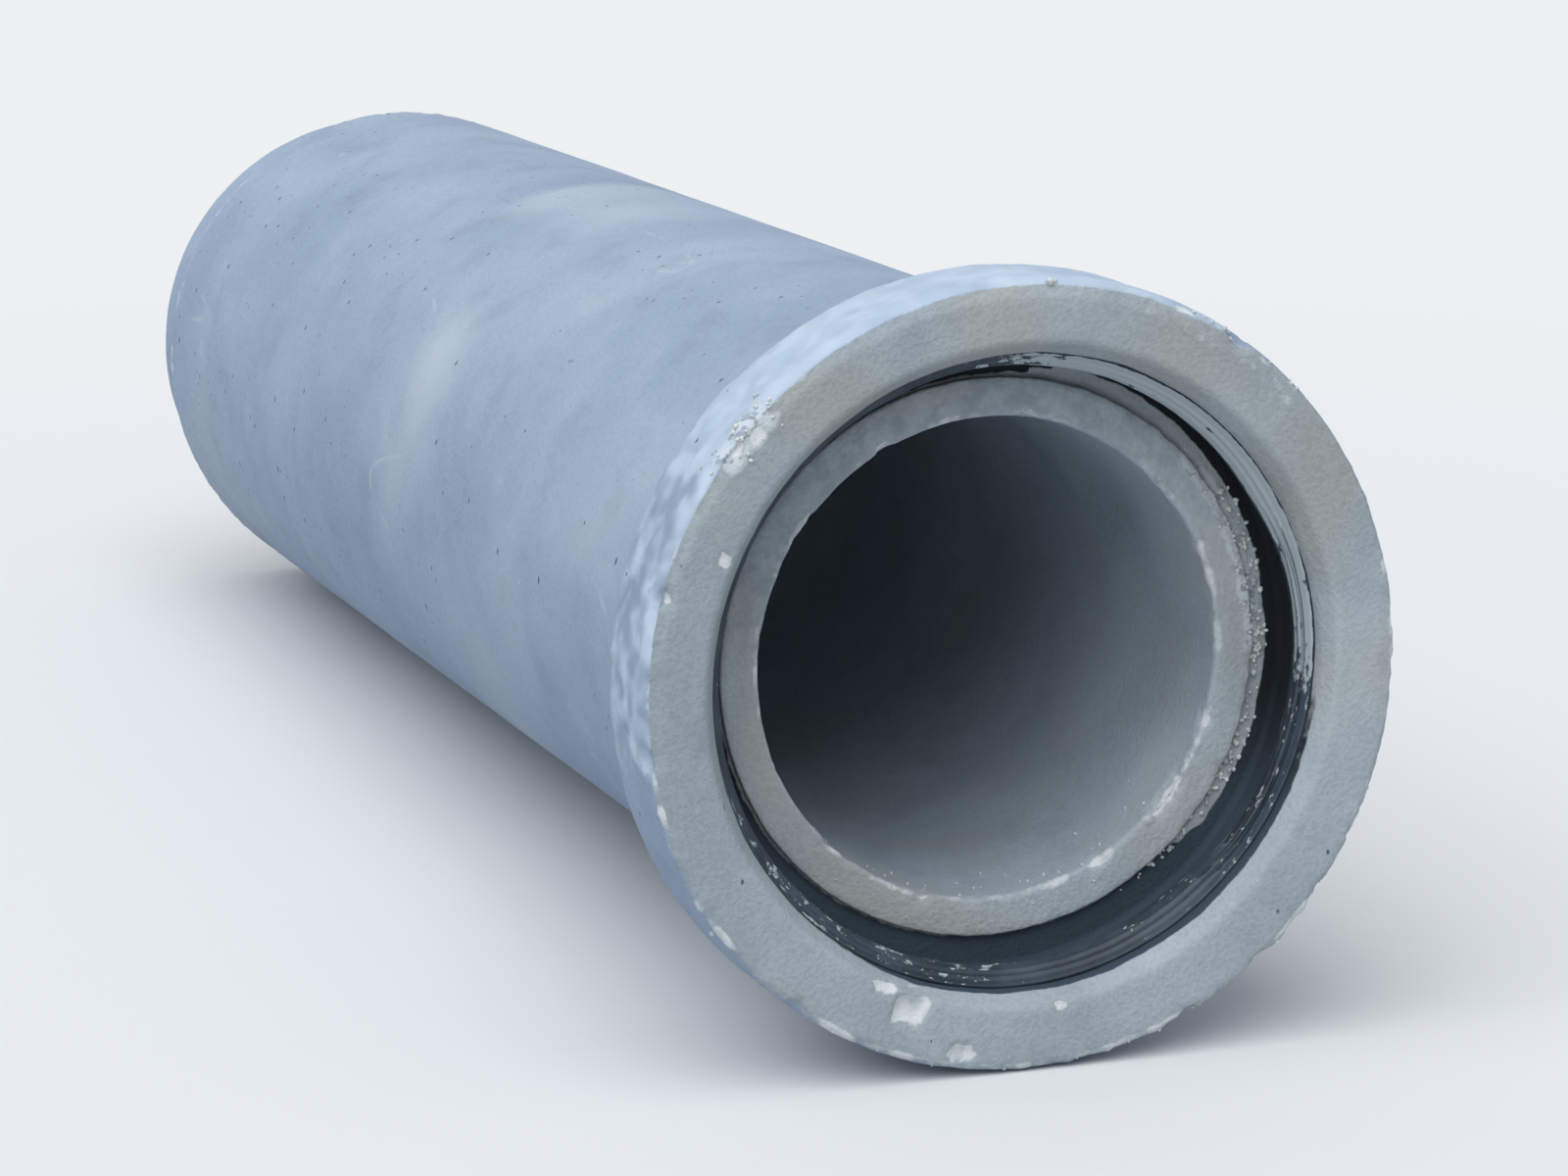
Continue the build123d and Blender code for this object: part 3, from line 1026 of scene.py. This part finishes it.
@dataclass
class RubberSeal:
    """The rubber ring cast into the socket's wall, in metres."""

    axes: PipeAxes
    wall_radius: float = 0.2622
    start: float = 0.024
    length: float = 0.036
    front_height: float = 0.003
    heel_height: float = 0.004
    heel_length: float = 0.006
    lip_height: float = 0.014
    lip_land: float = 0.008
    rib_count: int = 2
    rib_height: float = 0.0022
    rib_half: float = 0.0020
    steps: int = 360

    def section(self) -> TurnedSection:
        """The ring's half section: a ribbed ramp, the lip and the heel behind it."""
        end = self.start + self.length
        lip_end = end - self.heel_length
        lip_start = lip_end - self.lip_land
        foot, top = self.wall_radius - self.front_height, self.wall_radius - self.lip_height
        run, rise = lip_start - self.start, top - foot
        slope = [Corner(self.start, foot, 0.0008, 0.004, 2)]
        for rib in range(self.rib_count):
            share = (rib + 1) / (self.rib_count + 1)
            for offset, lift in ((-self.rib_half, 0.0), (0.0, self.rib_height), (self.rib_half, 0.0)):
                radius = foot + rise * (share + offset / run) - lift
                slope.append(Corner(self.start + run * share + offset, radius, 0.0006, 0.004, 2))
        corners = [
            Corner((self.start + end) / 2, self.wall_radius, 0, 0.03),
            Corner(self.start, self.wall_radius, 0, 0.004),
            *slope,
            Corner(lip_start, top, 0.003, 0.003, 3),
            Corner(lip_end, top, 0.0025, 0.004, 3),
            Corner(end, self.wall_radius - self.heel_height, 0.001, 0.004, 2),
            Corner(end, self.wall_radius, 0, 0.03),
        ]
        return TurnedSection("rubber_seal_dressed", corners, self.steps, self.axes)

    def uneven(self, spot: Spot) -> float:
        """All of the ring but its foot on the wall."""
        return 1.0 if spot.radius < 0.261 else 0.0

    def pressed_back(self, spot: Spot) -> float:
        """Where the lip lies closer to the wall, at the right."""
        return spot.arc(100, 20, 24) * ramp(spot.radius, 0.2590, 0.2495)

    def smear(self, spot: Spot) -> float:
        """Cement left on the ring, most of it at the top right."""
        caked = 0.95 * spot.arc(48, 32, 42) * ramp(spot.along, 0.056, 0.044)
        specks = 0.50 * spot.arc(215, 30, 25) + 0.42 * spot.arc(120, 30, 20)
        return max(caked, specks, 0.30) * ramp(spot.radius, 0.2625, 0.2605)

    def build(self) -> Piece:
        """Turns the ring, makes it a little uneven, paints it and gives it its material.

        Returns:
            The dressed ring.
        """
        piece = self.section().turn()
        spots = self.axes.spots(piece)
        Relief("uneven", Grain.LUMPS, 0.03, 0.0012, 0.5, self.uneven).press(piece, spots)
        Relief("pressed_back", Grain.EVEN, 0.0, 0.0065, 2.0, self.pressed_back).press(piece, spots)
        paint(piece, "smear", spots, self.smear)
        piece.data.materials.append(RubberFinish().make())
        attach(piece, "root")
        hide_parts("rubber_seal")
        return piece


@dataclass(frozen=True)
class CrumbField:
    """A stretch of the casting with crumbs of mortar on it; sizes are radii."""

    along: Range
    radius: Range
    clock: Range
    count: int
    size: Range


@dataclass
class MortarCrumbs:
    """Crumbs of mortar and grit that stick to the casting."""

    axes: PipeAxes
    casting: Piece
    seed: int = 17
    sunk: float = 0.25  # share of a crumb's size
    fields: tuple[CrumbField, ...] = (
        CrumbField((0.088, 0.092), (0.2355, 0.2490), (58, 122), 96, (0.0016, 0.0034)),
        CrumbField((0.088, 0.092), (0.2350, 0.2410), (116, 152), 34, (0.0014, 0.0030)),
        CrumbField((0.084, 0.086), (0.2240, 0.2330), (55, 92), 26, (0.0010, 0.0024)),
        CrumbField((0.090, 0.160), (0.2000, 0.2000), (128, 232), 34, (0.0008, 0.0022)),
        CrumbField((0.085, 0.085), (0.2010, 0.2300), (140, 225), 10, (0.0008, 0.0016)),
        CrumbField((0.000, 0.026), (0.3240, 0.3250), (304, 318), 20, (0.0014, 0.0032)),
        CrumbField((0.000, 0.001), (0.3000, 0.3220), (307, 317), 12, (0.0012, 0.0026)),
        CrumbField((0.002, 0.004), (0.3260, 0.3260), (3, 5), 2, (0.0040, 0.0050)),
        CrumbField((0.001, 0.006), (0.3240, 0.3250), (22, 50), 12, (0.0012, 0.0026)),
        CrumbField((0.001, 0.004), (0.3250, 0.3250), (110, 215), 16, (0.0008, 0.0018)),
        CrumbField((0.010, 0.014), (0.3250, 0.3250), (233, 235), 2, (0.0024, 0.0034)),
        CrumbField((1.964, 1.996), (0.2560, 0.2740), (0, 360), 90, (0.0012, 0.0030)),
        CrumbField((2.084, 2.085), (0.2010, 0.2080), (80, 240), 22, (0.0010, 0.0024)),
    )

    def places(self, draw: random.Random) -> list[tuple[Vector, float]]:
        """Draws where the crumbs lie, part sunk in the casting's surface.

        Args:
            draw: The seeded random numbers.

        Returns:
            The middle and the radius of each crumb.
        """
        crumbs = []
        for spread in self.fields:
            for _ in range(spread.count):
                along, radius = draw.uniform(*spread.along), draw.uniform(*spread.radius)
                wanted = self.axes.point(along, radius, draw.uniform(*spread.clock))
                size = draw.uniform(*spread.size)
                _, surface, normal, _ = self.casting.closest_point_on_mesh(wanted)
                crumbs.append((surface + normal * size * (0.5 - self.sunk), size))
        return crumbs

    def build(self) -> Piece:
        """Adds the crumbs one by one, makes them angular and gives them their material.

        Returns:
            All crumbs as one piece.
        """
        draw = random.Random(self.seed)
        crumbs = self.places(draw)
        piece = start_mesh("mortar_crumbs")
        bpy.ops.mesh.delete(type="VERT")
        for middle, size in crumbs:
            bpy.ops.mesh.primitive_ico_sphere_add(
                subdivisions=1,
                radius=size,
                location=middle,
                rotation=[draw.uniform(0, math.pi) for _ in range(3)],
                scale=(1.0, draw.uniform(0.6, 0.9), draw.uniform(0.5, 0.8)),
            )
        end_mesh()
        spots = self.axes.spots(piece)
        Relief("angular", Grain.STONES, 0.0035, 0.0014, 0.5, lambda s: 1.0).press(piece, spots)
        piece.data.materials.append(MortarFinish().make())
        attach(piece, "root")
        return piece


# ---------------------------------------------------------------- studio


@dataclass
class Studio:
    """Pale floor, one broad lamp, even light from all round and the camera."""

    axes: PipeAxes
    camera_left: float = 1.487
    camera_front: float = 3.755
    camera_up: float = 0.861
    lens: float = 118.0
    aimed_along: float = 0.42  # where on the axis the camera looks
    aimed_off: Triple = (-0.064, 0, 0.003)  # and how far beside it
    backdrop: Colour = tone(238, 240, 242)
    bounce: Colour = tone(196, 199, 202)
    floor_radius: float = 40.0
    floor_fade: Range = (1.6, 3.6)  # where the floor turns into the backdrop
    fill: Colour = (0.93, 0.96, 1.0, 1.0)
    fill_strength: float = 0.44
    lamp_strength: float = 2.0
    lamp_width: float = 70.0  # degrees
    lamp_way: Triple = (0.42, 0.44, -1.0)

    def floor(self) -> None:
        """A wide pale floor that fades into the background."""
        bpy.ops.mesh.primitive_circle_add(vertices=96, radius=self.floor_radius, fill_type="NGON")
        floor = added("floor")
        bench = NodeBench(bpy.data.materials.new("floor_paint"))
        seen = bench.seen()
        away = bench.add("ShaderNodeVectorMath", {0: bench.where}, operation="LENGTH").outputs["Value"]
        sockets = {"Roughness": 0.95, "Specular IOR Level": 0.1}
        sockets["Base Color"] = bench.blend(seen, self.bounce, self.backdrop)
        matt = bench.add("ShaderNodeBsdfPrincipled", sockets)
        plain = bench.add("ShaderNodeEmission", {"Color": self.backdrop, "Strength": 1.0})
        share = bench.times(bench.spread(away, *self.floor_fade), seen)
        bench.finish(bench.add("ShaderNodeMixShader", {0: share, 1: matt.outputs[0], 2: plain.outputs[0]}))
        floor.data.materials.append(bench.owner)

    def lamp(self) -> None:
        """A broad soft lamp from above, a little to the left and in front."""
        bpy.ops.object.light_add(type="SUN", location=(-1.5, -1.5, 4.0))
        lamp = added("sky_lamp")
        lamp.data.energy = self.lamp_strength
        lamp.data.angle = math.radians(self.lamp_width)
        lamp.rotation_euler = Vector(self.lamp_way).to_track_quat("-Z", "Y").to_euler()

    def world(self) -> None:
        """Even light from all round, with the backdrop's colour behind the pipe."""
        bench = NodeBench(bpy.data.worlds.new("studio"))
        fill = bench.add("ShaderNodeBackground", {"Color": self.fill, "Strength": self.fill_strength})
        shown = bench.add("ShaderNodeBackground", {"Color": self.backdrop})
        sides = {0: bench.seen(), 1: fill.outputs[0], 2: shown.outputs[0]}
        bench.finish(bench.add("ShaderNodeMixShader", sides))
        bpy.context.scene.world = bench.owner

    def camera(self) -> None:
        """A camera in front of the bell, a little to its left and above it."""
        place = self.axes.face - self.axes.along * self.camera_front - self.axes.side * self.camera_left
        place += self.axes.up * self.camera_up
        aim = self.axes.point(self.aimed_along, 0.0) + Vector(self.aimed_off)
        bpy.ops.object.camera_add(location=place)
        camera = added("camera")
        camera.data.lens = self.lens
        camera.rotation_euler = (aim - place).to_track_quat("-Z", "Y").to_euler()
        bpy.context.scene.camera = camera

    def build(self) -> None:
        """Sets up the floor, the light and the camera."""
        bpy.context.scene.view_settings.view_transform = "Standard"
        self.floor()
        self.world()
        self.lamp()
        self.camera()


def report(piece: Piece) -> None:
    """Logs how many vertices and triangles a piece has."""
    piece.data.calc_loop_triangles()
    counts = len(piece.data.vertices), len(piece.data.loop_triangles)
    log.info("%s: %d vertices, %d triangles", piece.name, *counts)


def main() -> None:
    """Builds the pipe's pieces and the studio, and reports each."""
    logging.basicConfig(level=logging.INFO, format="%(message)s")
    axes = PipeAxes.from_record()
    log.info("axis drops %.2f degrees towards the spigot", axes.drop())
    casting = ConcretePipe(axes).build()
    report(casting)
    report(RubberSeal(axes).build())
    report(MortarCrumbs(axes, casting).build())
    Studio(axes).build()
    log.info("studio is set")


if __name__ == "__main__":
    main()
